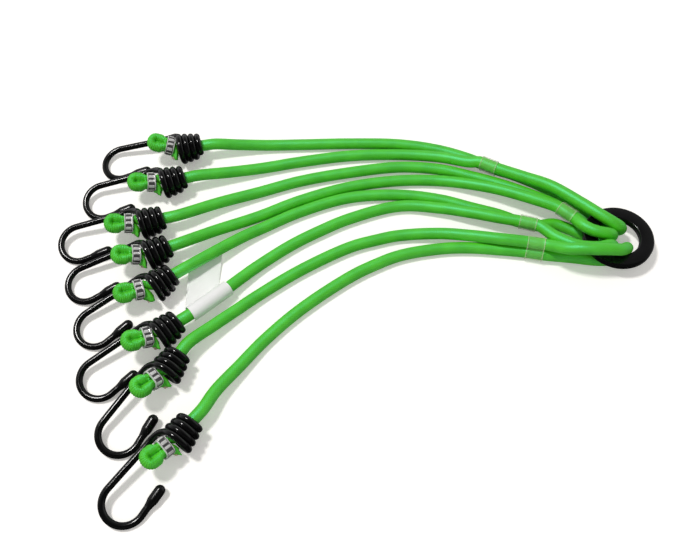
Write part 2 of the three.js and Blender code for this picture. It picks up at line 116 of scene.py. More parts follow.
# Cap on each hook tip
CAP_RADIUS = 0.0034
CAP_DEPTH = 0.013
CAP_END_WALL = 0.0024
CAP_LIP = 0.00015
CAP_SWELL_RUN = 0.0055
CAP_SWELL_ROWS = 9
CAP_DOME_END = 84.0
CAP_DOME_ROWS = 12
CAP_SEGMENTS = 28

# Folded cord end
END_STEP = 0.0002
END_SPAN_STEPS = 16
END_BEND_STEPS = 12
BULB_RIB_PITCH = 0.00115
BULB_RIB_DEPTH = 0.0002
BULB_SWELL = 0.0004
BULB_START_RUN = 0.003
LOOP_OFFSET = 0.00455
LOOP_LENGTH = 0.0106
LOOP_SQUEEZE = 0.80
LOOP_END_SQUASH = 0.72
SEAM_FILL = 0.0038
SEAM_WIDTH = 0.0022
SEAM_START = (-0.0005, 0.0005)
SEAM_END = (0.0010, 0.0030)
DIMPLE_FILL = 0.0019
DIMPLE_WIDTH = 0.0026
DIMPLE_END = (0.0075, 0.0105)
TAIL_CLEARANCE = 0.0008
TAIL_SPLAY = 0.0058
TAIL_BACK = 0.0007
TAIL_DROP = 0.0035
TAIL_FULLNESS = 1.6
TAIL_LOOSE_RUN = 0.007
TAIL_ROUND = (0.1, 0.62)
TAIL_ROUND_ROWS = 6
TAIL_AIM_ROWS = 12

# Way of the folded end inside the coil: shares of the coil's length back and of the loop's offset aside
END_IN_COIL = ((1.0, 0.0), (0.55, 0.0), (0.15, 0.25))

# Where the coil stops pressing on the folded end, and the room that is free beyond
COIL_PRESS_END = (0.002, 0.005)
COIL_FREE_ROOM = 0.01

# Crimp
CRIMP_LENGTH = 0.006
CRIMP_WALL = 0.0006
CRIMP_CLEARANCE = 0.00045
CRIMP_SQUEEZE = 0.58
CRIMP_CORNER = 0.6
CRIMP_CORNER_STEPS = 12
CRIMP_SIDE_STEPS = 10
CRIMP_RIDGE = 0.0004
CRIMP_RIDGES = 10
RIDGE_EDGE = (0.42, 0.62)
CRIMP_BASE = 0.0001
CRIMP_RIM = 0.00034
CRIMP_SHARP_ANGLE = 38
GRIP_MARGIN = 0.001
GRIP_AHEAD = (0.0006, 0.0045)
GRIP_BEHIND = (0.0004, 0.003)

# Rows of a crimp from its middle out: share of the half length, lift, ridges, and whether painted shade
# goes between the ridges or all round at the step up to the rim
CRIMP_ROWS = (
    (0.20, CRIMP_BASE, 1, 1, 0),
    (0.54, CRIMP_BASE, 1, 1, 0),
    (0.60, CRIMP_BASE, 0, 1, 0),
    (0.74, CRIMP_RIM, 0, 0, 1),
    (0.80, CRIMP_RIM, 0, 0, 0),
    (0.97, CRIMP_RIM, 0, 0, 0),
    (1.00, 0.0, 0, 0, 0),
)

# Cut strands of the core, with two rings of strands round the middle one
CORE_RADIUS = 0.0032
STRAND_RADIUS = CORE_RADIUS / 8
STRAND_RINGS = ((2.05, 6), (4.1, 12))
STRAND_SIDES = 8
STRAND_INSET = 0.0015
STRAND_PROUD = 0.0002
STRAND_UNEVEN = 0.00025
STRAND_UNEVEN_STEP = 2.4
STRAND_TIP = 0.0002
STRAND_TIP_SHARE = 0.7

# Tag
TAG_ARM = 6
TAG_START = 0.008
TAG_WIDTH = 0.033
TAG_THICKNESS = 0.00035
TAG_RADIUS = 0.0054
TAG_FOLD = (205, -5)
TAG_FLAG_START = 0.0105
TAG_FLAG_REACH = 0.028
TAG_FLAG_HEADING = 88
TAG_FLAG_RISE = 0.0045
TAG_FLAG_CURL = 1.5
TAG_TABLE_GAP = 0.0006
TAG_ROWS = 23
TAG_FOLD_STEPS = 25
TAG_FLAG_STEPS = 15
TAG_SPAN_STEPS = 3
TAG_AIM_STEPS = 4

# Colours, as places on a ramp with a linear colour each
BRAID_COLOURS = [
    (0.15, (0.068, 0.485, 0.003)),
    (0.55, (0.092, 0.595, 0.005)),
    (0.95, (0.118, 0.705, 0.008)),
]
BRAID_TINT = (0.22, 1.0, 0.78, 1.0)
BLACK_COLOURS = [(0.3, (0.0020, 0.0020, 0.0022)), (0.8, (0.0045, 0.0045, 0.0048))]
# Crimp: pale metal at the low end of the ramp, painted groove shade at the high end
CRIMP_METAL_AND_GROOVE_SHADE = [(0.0, (0.95, 0.95, 0.94)), (0.3, (0.84, 0.83, 0.81)), (0.7, (0.10, 0.10, 0.10))]
CLEAR_COLOURS = [(0.3, (0.94, 0.93, 0.66)), (0.8, (0.97, 0.97, 0.80))]
FILM_COLOURS = [(0.3, (0.92, 0.92, 0.91)), (0.75, (0.955, 0.955, 0.95))]
CORE_COLOURS = [(0.3, (0.48, 0.41, 0.28)), (0.8, (0.66, 0.59, 0.44))]

# Braid pattern: bundles around the cord, length of one crossing, yarns in a bundle
BUNDLES_AROUND = 16
BUNDLE_LAY = 0.0021
YARNS_IN_BUNDLE = 5.0
YARN_HEIGHT = 0.25
# Painted shade: how much darker the valleys between the yarns are than their crowns
BRAID_VALLEY_SHADE = 0.22
BRAID_IOR = 1.8
BRAID_GLOSS = 0.8

# Other surfaces
BLACK_GLOSS = 0.42
CRIMP_METALLIC = 0.5
CRIMP_GRIME = 0.3
CORE_ROUGHNESS = 0.75
# Sleeves: painted highlight at the cut ends and painted reflection on the edge-on sides, both as extra
# opacity of the pale film
CLEAR_CUT_POWER = 24.0
CLEAR_END_GLINT_ALPHA = 0.5
CLEAR_SIDE_POWER = 4.0
CLEAR_EDGE_REFLECTION_ALPHA = 0.55
CLEAR_BASE_ALPHA = 0.035
CLEAR_MOST_ALPHA = 0.8

# Camera, at the photograph's viewing angle
CAMERA_LENS = 42.35
CAMERA_SENSOR = 36.0
CAMERA_REACH = Vector((0.0, -0.2835, 0.4910))
CAMERA_TILT = 30

# Stage
FLOOR_HALF = 4.0
FLOOR_COLOUR = (0.95, 0.93, 0.91, 1.0)
GLOW_COLOUR = (1.0, 0.97, 0.93, 1.0)
AMBIENT = 0.32

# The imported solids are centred, so the sleeves and routes below are moved back by this much
LAYOUT_MIDDLE = Vector((0.01032, -0.02724, 0.00009))

# Roll of each hook, reach from coil to crimp, sideways turn and lift of the folded end
ARM_ENDS = {
    1: (-6, 0.0079, -13, 19),
    2: (-12, 0.0088, -7, 13),
    3: (-13, 0.0088, -9, 11),
    4: (-7, 0.0079, -14, 17),
    5: (-6, 0.0096, -14, 13),
    6: (-9, 0.0076, -14, 18),
    7: (-12, 0.0082, -14, 18),
    8: (-14, 0.0074, -10, 12),
}

# Middle, heading, climb and lean of each sleeve
SLEEVES = {
    "a": ((0.1129, 0.0930, 0.0091), -27, 1, -58),
    "b": ((0.1650, 0.0484, 0.0118), -41, -1, -48),
    "c": ((0.1360, 0.0408, 0.0093), -17, 3, -58),
    "d": ((0.1385, 0.0193, 0.0096), -12, 3, -113),
}

# Routes: one arm from its coil to the sleeve, the loop round the ring, the other arm back
CORD_ROUTES = {
    "a": {
        "arms": (2, 1),
        "first": [
            (-0.083, 0.0882, 0.0078), (-0.058, 0.0943, 0.005), (-0.031, 0.1004, 0.0044),
            (0.008, 0.1065, 0.0044), (0.046, 0.1075, 0.0046), (0.077, 0.1032, 0.007),
            (0.098, 0.0955, 0.0108),
        ],
        "loop": [
            (0.136, 0.0794, 0.014), (0.1546, 0.070, 0.0156), (0.1736, 0.053, 0.0183),
            (0.187, 0.0405, 0.0194), (0.1945, 0.0355, 0.0182), (0.1998, 0.0339, 0.015),
            (0.2014, 0.0344, 0.0114), (0.1999, 0.0362, 0.0076), (0.1965, 0.040, 0.0049),
            (0.1915, 0.0455, 0.0044), (0.1825, 0.0545, 0.0044), (0.168, 0.066, 0.0048),
            (0.150, 0.078, 0.005), (0.131, 0.088, 0.0051),
        ],
        "second": [
            (0.099, 0.103, 0.0051), (0.077, 0.1118, 0.0044), (0.047, 0.1175, 0.0044),
            (0.008, 0.1185, 0.0044), (-0.031, 0.1175, 0.0044), (-0.055, 0.1165, 0.005),
            (-0.077, 0.1145, 0.008),
        ],
    },
    "b": {
        "arms": (4, 3),
        "first": [
            (-0.091, 0.035, 0.0078), (-0.060, 0.0495, 0.0048), (-0.030, 0.064, 0.0044),
            (0.0075, 0.0768, 0.0044), (0.045, 0.0827, 0.0044), (0.0755, 0.0823, 0.0048),
            (0.097, 0.077, 0.008), (0.118, 0.0694, 0.0115), (0.144, 0.0575, 0.0145),
        ],
        "loop": [
            (0.1722, 0.0335, 0.0183), (0.1776, 0.0289, 0.0192), (0.1834, 0.0266, 0.0193),
            (0.1888, 0.0263, 0.0182), (0.1928, 0.0274, 0.015), (0.1942, 0.0288, 0.0114),
            (0.1928, 0.0309, 0.0074), (0.1893, 0.0332, 0.005), (0.1845, 0.0374, 0.0044),
            (0.1795, 0.0424, 0.0047),
        ],
        "second": [
            (0.145, 0.0653, 0.0082), (0.119, 0.0783, 0.0065), (0.098, 0.0864, 0.0053),
            (0.076, 0.0932, 0.0045), (0.046, 0.0956, 0.0044), (0.008, 0.0905, 0.0044),
            (-0.030, 0.0822, 0.0044), (-0.060, 0.0718, 0.0047), (-0.089, 0.0605, 0.0072),
        ],
    },
    "c": {
        "arms": (6, 5),
        "first": [
            (-0.084, -0.018, 0.0082), (-0.060, 0.0055, 0.005), (-0.035, 0.025, 0.0044),
            (-0.015, 0.037, 0.0044), (0.007, 0.048, 0.0044), (0.0445, 0.0593, 0.0044),
            (0.074, 0.056, 0.0066), (0.096, 0.0498, 0.0097), (0.116, 0.0438, 0.0118),
        ],
        "loop": [
            (0.1522, 0.0254, 0.0158), (0.1597, 0.0194, 0.0178), (0.1676, 0.0153, 0.0189),
            (0.1814, 0.0143, 0.0192), (0.1872, 0.0158, 0.019), (0.1912, 0.0177, 0.016),
            (0.1929, 0.0194, 0.0115), (0.1914, 0.0214, 0.0075), (0.1884, 0.024, 0.005),
            (0.183, 0.0275, 0.0044), (0.175, 0.034, 0.0044), (0.166, 0.0392, 0.0045),
            (0.156, 0.043, 0.0048),
        ],
        "second": [
            (0.1175, 0.0508, 0.0051), (0.097, 0.0577, 0.0047), (0.0745, 0.065, 0.0044),
            (0.045, 0.0693, 0.0044), (0.007, 0.0669, 0.0044), (-0.030, 0.0538, 0.0044),
            (-0.055, 0.0403, 0.0048), (-0.071, 0.0305, 0.0062),
        ],
    },
    "d": {
        "arms": (7, 8),
        "first": [
            (-0.0845, -0.0406, 0.0082), (-0.070, -0.0278, 0.0061), (-0.058, -0.0175, 0.0048),
            (-0.0283, 0.0038, 0.0044), (0.007, 0.0232, 0.0044), (0.025, 0.0291, 0.0044),
            (0.0435, 0.0334, 0.0044), (0.0725, 0.0337, 0.0066), (0.093, 0.030, 0.0097),
            (0.114, 0.0252, 0.0128),
        ],
        "loop": [
            (0.1579, 0.0114, 0.0218), (0.1657, 0.0094, 0.025), (0.1736, 0.0084, 0.026),
            (0.1862, 0.0087, 0.0252), (0.1955, 0.0108, 0.0215), (0.2008, 0.015, 0.0168),
            (0.2023, 0.0173, 0.0114), (0.2005, 0.0167, 0.0075), (0.1964, 0.0145, 0.005),
            (0.190, 0.0128, 0.0044), (0.1823, 0.0126, 0.0045), (0.164, 0.0146, 0.005),
        ],
        "second": [
            (0.115, 0.021, 0.0048), (0.093, 0.0228, 0.0045), (0.072, 0.022, 0.0044),
            (0.043, 0.0163, 0.0044), (0.025, 0.0086, 0.0044), (0.007, -0.0015, 0.0044),
            (-0.0272, -0.0274, 0.0044), (-0.0504, -0.0502, 0.0045), (-0.066, -0.0698, 0.006),
            (-0.080, -0.0885, 0.0088),
        ],
    },
}


# Node helpers

def new_material(name):
    material = bpy.data.materials.new(name)
    material.use_nodes = True
    tree = material.node_tree
    shader = tree.nodes["Principled BSDF"]
    return material, tree, shader


def add_node(tree, kind, **values):
    node = tree.nodes.new(kind)
    for key, value in values.items():
        setattr(node, key, value)
    return node


def math_node(tree, operation, first, second=None):
    node = add_node(tree, "ShaderNodeMath", operation=operation)
    for index, value in enumerate((first, second)):
        if value is None:
            continue
        if isinstance(value, (int, float)):
            node.inputs[index].default_value = value
        else:
            tree.links.new(value, node.inputs[index])
    return node.outputs[0]


def object_place(tree):
    return add_node(tree, "ShaderNodeTexCoord").outputs["Object"]


def own_coordinates(tree):
    """The two coordinates that each mesh carries for its surface."""
    uv = add_node(tree, "ShaderNodeUVMap", uv_map="braid").outputs["UV"]
    split = add_node(tree, "ShaderNodeSeparateXYZ")
    tree.links.new(uv, split.inputs[0])
    return split.outputs["X"], split.outputs["Y"]


def noise_node(tree, coordinates, scale, detail):
    node = add_node(tree, "ShaderNodeTexNoise")
    tree.links.new(coordinates, node.inputs["Vector"])
    node.inputs["Scale"].default_value = scale
    node.inputs["Detail"].default_value = detail
    return node.outputs["Fac"]


def ramp_node(tree, value, stops):
    node = add_node(tree, "ShaderNodeValToRGB")
    tree.links.new(value, node.inputs["Fac"])
    ramp = node.color_ramp
    while len(ramp.elements) < len(stops):
        ramp.elements.new(0.5)
    for element, (place, colour) in zip(ramp.elements, stops):
        element.position = place
        element.color = (*colour, 1.0)
    return node.outputs["Color"]


def bump_node(tree, height, strength, distance):
    node = add_node(tree, "ShaderNodeBump")
    node.inputs["Strength"].default_value = strength
    node.inputs["Distance"].default_value = distance
    tree.links.new(height, node.inputs["Height"])
    return node.outputs["Normal"]


def range_node(tree, value, low, high, start=0.0, stop=1.0):
    """Low where the value is at start, high where it is at stop."""
    node = add_node(tree, "ShaderNodeMapRange")
    tree.links.new(value, node.inputs["Value"])
    node.inputs["From Min"].default_value = start
    node.inputs["From Max"].default_value = stop
    node.inputs["To Min"].default_value = low
    node.inputs["To Max"].default_value = high
    return node.outputs["Result"]


def link_surface(tree, shader, colour, roughness, normal):
    tree.links.new(colour, shader.inputs["Base Color"])
    tree.links.new(roughness, shader.inputs["Roughness"])
    tree.links.new(normal, shader.inputs["Normal"])


# Materials

def braid_material():
    """Green braid: crossing yarn bundles from the tube's own around and along coordinates. The base colour
    carries painted shade: it is darker in the valleys between the yarns and lighter on their crowns.
    """
    material, tree, shader = new_material("braided_sheath")
    turn, run = own_coordinates(tree)
    around = math_node(tree, "MULTIPLY", turn, 2 * math.pi * BUNDLES_AROUND)
    along = math_node(tree, "MULTIPLY", run, 2 * math.pi / BUNDLE_LAY)
    rising = math_node(tree, "ADD", around, along)
    right = math_node(tree, "SINE", rising)
    left = math_node(tree, "SINE", math_node(tree, "SUBTRACT", around, along))
    crown = math_node(tree, "MAXIMUM", right, left)
    yarn_wave = math_node(tree, "SINE", math_node(tree, "MULTIPLY", rising, YARNS_IN_BUNDLE))
    height = math_node(tree, "ADD", crown, math_node(tree, "MULTIPLY", yarn_wave, YARN_HEIGHT))
    mottle = noise_node(tree, object_place(tree), scale=90.0, detail=4.0)
    # Painted shade in the yarn valleys, plus random mottle
    share = math_node(tree, "ADD", math_node(tree, "MULTIPLY", height, BRAID_VALLEY_SHADE), mottle)
    colour = ramp_node(tree, share, BRAID_COLOURS)
    roughness = range_node(tree, mottle, low=0.42, high=0.52)
    link_surface(tree, shader, colour, roughness, bump_node(tree, height, strength=0.2, distance=0.0001))
    shader.inputs["IOR"].default_value = BRAID_IOR
    shader.inputs["Specular IOR Level"].default_value = BRAID_GLOSS
    shader.inputs["Specular Tint"].default_value = BRAID_TINT
    return material


def gloss_black_material(name, low, high, scale, depth):
    """Black coating with a slight orange peel and faint dust."""
    material, tree, shader = new_material(name)
    place = object_place(tree)
    peel = noise_node(tree, place, scale, detail=2.0)
    cloud = noise_node(tree, place, scale=120.0, detail=5.0)
    colour = ramp_node(tree, cloud, BLACK_COLOURS)
    roughness = range_node(tree, cloud, low, high)
    link_surface(tree, shader, colour, roughness, bump_node(tree, peel, strength=0.2, distance=depth))
    shader.inputs["Specular IOR Level"].default_value = BLACK_GLOSS
    return material


def chrome_material():
    """Bright metal, with painted shade where the second coordinate says that the surface lies deep: between
    the ridges and at the step up to the rim.
    """
    material, tree, shader = new_material("crimp_metal")
    cloud = noise_node(tree, object_place(tree), scale=180.0, detail=3.0)
    _, recess_shade = own_coordinates(tree)
    # The second coordinate is painted shade in the grooves; the cloud adds random grime
    grime = math_node(tree, "MULTIPLY", math_node(tree, "SUBTRACT", cloud, 0.5), CRIMP_GRIME)
    colour = ramp_node(tree, math_node(tree, "ADD", recess_shade, grime), CRIMP_METAL_AND_GROOVE_SHADE)
    roughness = range_node(tree, cloud, low=0.24, high=0.36)
    link_surface(tree, shader, colour, roughness, bump_node(tree, cloud, strength=0.1, distance=0.00003))
    shader.inputs["Metallic"].default_value = CRIMP_METALLIC
    return material


def clear_material():
    """Thin clear film with a slight yellow tint and faint scuffs. It turns more opaque and pale near the
    cut ends as a painted highlight, and at its sides as a painted reflection where it is seen edge-on.
    """
    material, tree, shader = new_material("clear_sleeve")
    cloud = noise_node(tree, object_place(tree), scale=260.0, detail=4.0)
    colour = ramp_node(tree, cloud, CLEAR_COLOURS)
    roughness = range_node(tree, cloud, low=0.05, high=0.2)
    link_surface(tree, shader, colour, roughness, bump_node(tree, cloud, strength=0.1, distance=0.0001))
    _, to_end = own_coordinates(tree)
    # Painted highlight: the film turns opaque and pale just before each cut end
    near_end = math_node(tree, "POWER", to_end, CLEAR_CUT_POWER)
    painted_end_glint = math_node(tree, "MULTIPLY", near_end, CLEAR_END_GLINT_ALPHA)
    # Painted reflection: the film turns opaque and pale where it is seen edge-on
    facing = add_node(tree, "ShaderNodeLayerWeight").outputs["Facing"]
    edge_on = math_node(tree, "POWER", facing, CLEAR_SIDE_POWER)
    side = math_node(tree, "MULTIPLY", edge_on, CLEAR_EDGE_REFLECTION_ALPHA)
    share = math_node(tree, "ADD", math_node(tree, "ADD", painted_end_glint, side), CLEAR_BASE_ALPHA)
    tree.links.new(math_node(tree, "MINIMUM", share, CLEAR_MOST_ALPHA), shader.inputs["Alpha"])
    return material


def film_material():
    material, tree, shader = new_material("tag_film")
    place = object_place(tree)
    weave = noise_node(tree, place, scale=1800.0, detail=2.0)
    cloud = noise_node(tree, place, scale=70.0, detail=3.0)
    colour = ramp_node(tree, cloud, FILM_COLOURS)
    roughness = range_node(tree, cloud, low=0.45, high=0.6)
    link_surface(tree, shader, colour, roughness, bump_node(tree, weave, strength=0.25, distance=0.00004))
    return material


def core_material():
    material, tree, shader = new_material("rubber_core")
    cloud = noise_node(tree, object_place(tree), scale=500.0, detail=3.0)
    tree.links.new(ramp_node(tree, cloud, CORE_COLOURS), shader.inputs["Base Color"])
    shader.inputs["Roughness"].default_value = CORE_ROUGHNESS
    return material


BRAID = braid_material()
WIRE_COAT = gloss_black_material("coated_wire", low=0.12, high=0.20, scale=500.0, depth=0.00001)
CAP_COAT = gloss_black_material("tip_cap", low=0.18, high=0.30, scale=500.0, depth=0.00002)
RING_COAT = gloss_black_material("ring_metal", low=0.16, high=0.26, scale=1500.0, depth=0.00001)
CHROME = chrome_material()
CLEAR = clear_material()
FILM = film_material()
CORE = core_material()


# Mesh helpers

def turned(matrix, points):
    turn = np.array(matrix)
    return np.asarray(points) @ turn[:3, :3].T + turn[:3, 3]


def smooth_share(value, low, high):
    share = np.clip((np.asarray(value) - low) / (high - low), 0.0, 1.0)
    return share * share * (3 - 2 * share)


def mesh_object(name, places, faces, material, uv=None, sharp=50):
    """A mesh from an array of points and a list of faces, smooth but for edges over the sharp angle."""
    mesh = bpy.data.meshes.new(name)
    mesh.from_pydata([tuple(place) for place in np.asarray(places).reshape(-1, 3)], [], faces)
    mesh.polygons.foreach_set("use_smooth", [True] * len(mesh.polygons))
    mesh.set_sharp_from_angle(angle=math.radians(sharp))
    if uv is not None:
        layer = mesh.uv_layers.new(name="braid")
        layer.data.foreach_set("uv", np.asarray(uv, np.float32).ravel())
    mesh.materials.append(material)
    piece = bpy.data.objects.new(name, mesh)
    bpy.context.scene.collection.objects.link(piece)
    return piece


def grid_faces(rows, columns):
    """Quads of a grid whose columns close on themselves."""
    faces = []
    for row in range(rows - 1):
        for column in range(columns):
            beside = (column + 1) % columns
            faces.append((row * columns + column, row * columns + beside,
                          (row + 1) * columns + beside, (row + 1) * columns + column))
    return faces


def end_faces(rows, columns):
    """One face over each end of such a grid."""
    last = (rows - 1) * columns
    return [tuple(reversed(range(columns))), tuple(range(last, last + columns))]


def closing_faces(rows, columns):
    """Quads from the last row of such a grid back to its first."""
    last = (rows - 1) * columns
    return [(last + column, last + (column + 1) % columns, (column + 1) % columns, column)
            for column in range(columns)]


def flipped(faces):
    return [tuple(reversed(face)) for face in faces]


def strip_faces(first, second):
    """Quads between two rows of point numbers."""
    corners = np.stack([first[:-1], second[:-1], second[1:], first[1:]], axis=1)
    return [tuple(row) for row in corners.tolist()]


def value_uv(values, faces):
    """One value per point, as the second coordinate of each corner."""
    return [(0.0, values[corner]) for face in faces for corner in face]


def smooth_curve(points, per_span):
    """Centripetal Catmull-Rom curve through the points."""
    knots = [Vector(point) for point in points]
    knots = [2 * knots[0] - knots[1], *knots, 2 * knots[-1] - knots[-2]]
    line = []
    for index in range(1, len(knots) - 2):
        p0, p1, p2, p3 = knots[index - 1: index + 3]
        t0 = 0.0
        t1 = t0 + max((p1 - p0).length, 1e-9) ** 0.5
        t2 = t1 + max((p2 - p1).length, 1e-9) ** 0.5
        t3 = t2 + max((p3 - p2).length, 1e-9) ** 0.5
        for step in range(per_span):
            t = t1 + (t2 - t1) * step / per_span
            a1 = p0 * ((t1 - t) / (t1 - t0)) + p1 * ((t - t0) / (t1 - t0))
            a2 = p1 * ((t2 - t) / (t2 - t1)) + p2 * ((t - t1) / (t2 - t1))
            a3 = p2 * ((t3 - t) / (t3 - t2)) + p3 * ((t - t2) / (t3 - t2))
            b1 = a1 * ((t2 - t) / (t2 - t0)) + a2 * ((t - t0) / (t2 - t0))
            b2 = a2 * ((t3 - t) / (t3 - t1)) + a3 * ((t - t1) / (t3 - t1))
            line.append(b1 * ((t2 - t) / (t2 - t1)) + b2 * ((t - t1) / (t2 - t1)))
    line.append(knots[-2])
    return np.array(line)


def arc_lengths(line):
    return np.concatenate([[0.0], np.cumsum(np.linalg.norm(np.diff(line, axis=0), axis=1))])


def even_line(line, step):
    along = arc_lengths(line)
    count = max(2, int(round(along[-1] / step)) + 1)
    at = np.linspace(0.0, along[-1], count)
    return np.stack([np.interp(at, along, line[:, axis]) for axis in range(3)], axis=1)


def carried_frames(line):
    """Two cross directions carried along the line without twist."""
    tangents = np.gradient(line, axis=0)
    tangents /= np.linalg.norm(tangents, axis=1)[:, None]
    start = np.cross(tangents[0], (0.0, 0.0, 1.0))
    if np.linalg.norm(start) < 0.1:
        start = np.cross(tangents[0], (0.0, 1.0, 0.0))
    across = np.zeros_like(line)
    across[0] = start / np.linalg.norm(start)
    for index in range(1, len(line)):
        moved = across[index - 1] - tangents[index] * np.dot(across[index - 1], tangents[index])
        across[index] = moved / np.linalg.norm(moved)
    return across, np.cross(tangents, across)


def tube_grid(line, radii, sides):
    """Points of a tube, ring by ring. radii is one number per ring."""
    across, up = carried_frames(line)
    angles = (np.arange(sides) * 2 * math.pi / sides)[None, :, None]
    ring = across[:, None, :] * np.cos(angles) + up[:, None, :] * np.sin(angles)
    return line[:, None, :] + ring * np.asarray(radii)[:, None, None]


def tube_uv(rows, columns, along):
    """Around and along coordinates for each corner of grid_faces and end_faces."""
    uv = np.zeros(((rows - 1) * columns, 4, 2))
    row = np.repeat(np.arange(rows - 1), columns)
    column = np.tile(np.arange(columns), rows - 1)
    for corner, (down, right) in enumerate(((0, 0), (0, 1), (1, 1), (1, 0))):
        uv[:, corner, 0] = (column + right) / columns
        uv[:, corner, 1] = along[row + down]
    ends = np.zeros((2 * columns, 2))
    ends[:, 0] = np.tile(np.arange(columns) / columns, 2)
    ends[:columns, 1] = along[0]
    ends[columns:, 1] = along[-1]
    return np.concatenate([uv.reshape(-1, 2), ends])


def tube_object(name, grid, along, material):
    rows, columns = grid.shape[:2]
    faces = grid_faces(rows, columns) + end_faces(rows, columns)
    return mesh_object(name, grid, faces, material, tube_uv(rows, columns, along))


def lathe_object(name, profile, segments, place, material, closed):
    """A turned piece from (radius, height) points about its own Z."""
    angles = np.arange(segments) * 2 * math.pi / segments
    rows = [[(radius * math.cos(angle), radius * math.sin(angle), height) for angle in angles]
            for radius, height in profile]
    ends = closing_faces if closed else end_faces
    faces = grid_faces(len(profile), segments) + ends(len(profile), segments)
    return mesh_object(name, turned(place, rows), faces, material)


# Camera
camera_data = bpy.data.cameras.new("camera")
camera_data.lens = CAMERA_LENS
camera_data.sensor_width = CAMERA_SENSOR
camera = bpy.data.objects.new("camera", camera_data)
camera.location = CAMERA_REACH - LAYOUT_MIDDLE
camera.rotation_euler = (math.radians(CAMERA_TILT), 0.0, 0.0)
bpy.context.scene.collection.objects.link(camera)
bpy.context.scene.camera = camera

# Seats of the hooks, from the swivel joints: x along the coil towards the hook, y towards the tip
SEATS = {}
for joint in frame["joints"]:
    if joint["name"].startswith("hook_swivel_"):
        number = int(joint["name"].rsplit("_", 1)[1])
        axis = Vector(joint["axis"])
        heading = math.atan2(axis.y, axis.x)
        pitch = -math.asin(axis.z)
        roll = math.radians(ARM_ENDS[number][0])
        SEATS[number] = (
            Matrix.Translation(Vector(joint["pos_m"]))
            @ Matrix.Rotation(heading, 4, "Z")
            @ Matrix.Rotation(pitch, 4, "Y")
            @ Matrix.Rotation(roll, 4, "X")
        )


# Cords: each route is cut into its two arms and the loop round the ring, which goes with the cord set

def sleeve_matrix(name):
    middle, heading, climb, lean = SLEEVES[name]
    return (
        Matrix.Translation(Vector(middle) - LAYOUT_MIDDLE)
        @ Matrix.Rotation(math.radians(heading), 4, "Z")
        @ Matrix.Rotation(math.radians(-climb), 4, "Y")
        @ Matrix.Rotation(math.radians(lean), 4, "X")
    )


def moved_route(points):
    return [Vector(point) - LAYOUT_MIDDLE for point in points]


def behind_coil(arm):
    """Where an arm leaves its coil, and a point straight behind."""
    return [SEATS[arm] @ Vector((-COIL_LENGTH - lead, 0, 0)) for lead in (0.0, COIL_LEAD)]


def through_sleeve(name, side):
    """Way of one leg through its sleeve, towards the ring."""
    place = sleeve_matrix(name)
    return [place @ Vector((along, side * LEG_OFFSET, 0)) for along in (-SLEEVE_LEAD, 0.0, SLEEVE_LEAD)]


def nearest_index(line, point):
    return int(np.argmin(np.linalg.norm(line - np.array(point), axis=1)))


arm_lines = {}
for name, route in CORD_ROUTES.items():
    first_arm, last_arm = route["arms"]
    points = behind_coil(first_arm) + moved_route(route["first"]) + through_sleeve(name, -1)
    first_split = len(points) - 2
    points += moved_route(route["loop"]) + through_sleeve(name, 1)[::-1]
    second_split = len(points) - 2
    points += moved_route(route["second"]) + behind_coil(last_arm)[::-1]
    line = even_line(smooth_curve(points, ROUTE_SPAN_STEPS), CORD_STEP)
    line[:, 2] = np.maximum(line[:, 2], CORD_RADIUS)
    along = arc_lengths(line)
    radii = CORD_RADIUS - RIB_DEPTH + RIB_DEPTH * np.cos(2 * math.pi * along / RIB_PITCH)
    grid = tube_grid(line, radii, CORD_SIDES)
    cut_first = nearest_index(line, points[first_split])
    cut_second = nearest_index(line, points[second_split])
    pieces = (
        (f"cord_arm_{first_arm}", 0, cut_first),
        (f"cord_loop_{name}", cut_first, cut_second),
        (f"cord_arm_{last_arm}", cut_second, len(line) - 1),
    )
    for piece_name, begin, end in pieces:
        part = line[begin:end + 1]
        piece = tube_object(piece_name, grid[begin:end + 1], along[begin:end + 1], BRAID)
        if piece_name.startswith("cord_loop"):
            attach(piece, "cord_set")
            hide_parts(f"cord_sheath_{name}", f"cord_core_{name}")
        else:
            arm = int(piece_name.rsplit("_", 1)[1])
            from_coil = part if arm == first_arm else part[::-1]
            arm_lines[arm] = from_coil
            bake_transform(piece)


# Hooks

def coil_radius(share):
    """Radius of the coil's centre line, from its rear at 0 to its front at 1."""
    return COIL_REAR_RADIUS + (COIL_FRONT_RADIUS - COIL_REAR_RADIUS) * share ** COIL_TAPER


def hook_line():
    """Centre line of the hook wire in the frame of its seat."""
    coil = []
    for step in range(COIL_STEPS + 1):
        share = step / COIL_STEPS
        angle = math.radians(COIL_EXIT_ANGLE) - 2 * math.pi * COIL_TURNS * (1 - share)
        radius = coil_radius(share)
        coil.append((
            -COIL_TURNS * WIRE_PITCH * (1 - share),
            COIL_SIDE_SHIFT * share + radius * math.cos(angle),
            COIL_RISE * share + radius * math.sin(angle),
        ))
    _, leave_side, leave_height = coil[-1]
    hook = []
    for ahead, side, height in STEM_START:
        hook.append((
            ahead * 2 * WIRE_RADIUS,
            side * leave_side - (1 - side) * STEM_OFFSET,
            height * leave_height,
        ))
    for step in range(U_STEPS + 1):
        angle = -math.pi / 2 + math.pi * step / U_STEPS
        hook.append((
            STEM_LENGTH + U_RADIUS * math.cos(angle),
            U_RADIUS - STEM_OFFSET + U_RADIUS * math.sin(angle),
            0.0,
        ))
    leg = hook[-1]
    for share in TIP_LEG_SHARES:
        hook.append((leg[0] - share * TIP_LEG_LENGTH, leg[1] - share * TIP_LEG_CLOSING, 0.0))
    drop = Matrix.Rotation(math.radians(STEM_DROP), 3, "Y")
    points = coil + [drop @ Vector(point) for point in hook]
    return even_line(smooth_curve(points, WIRE_SPAN_STEPS), WIRE_STEP)


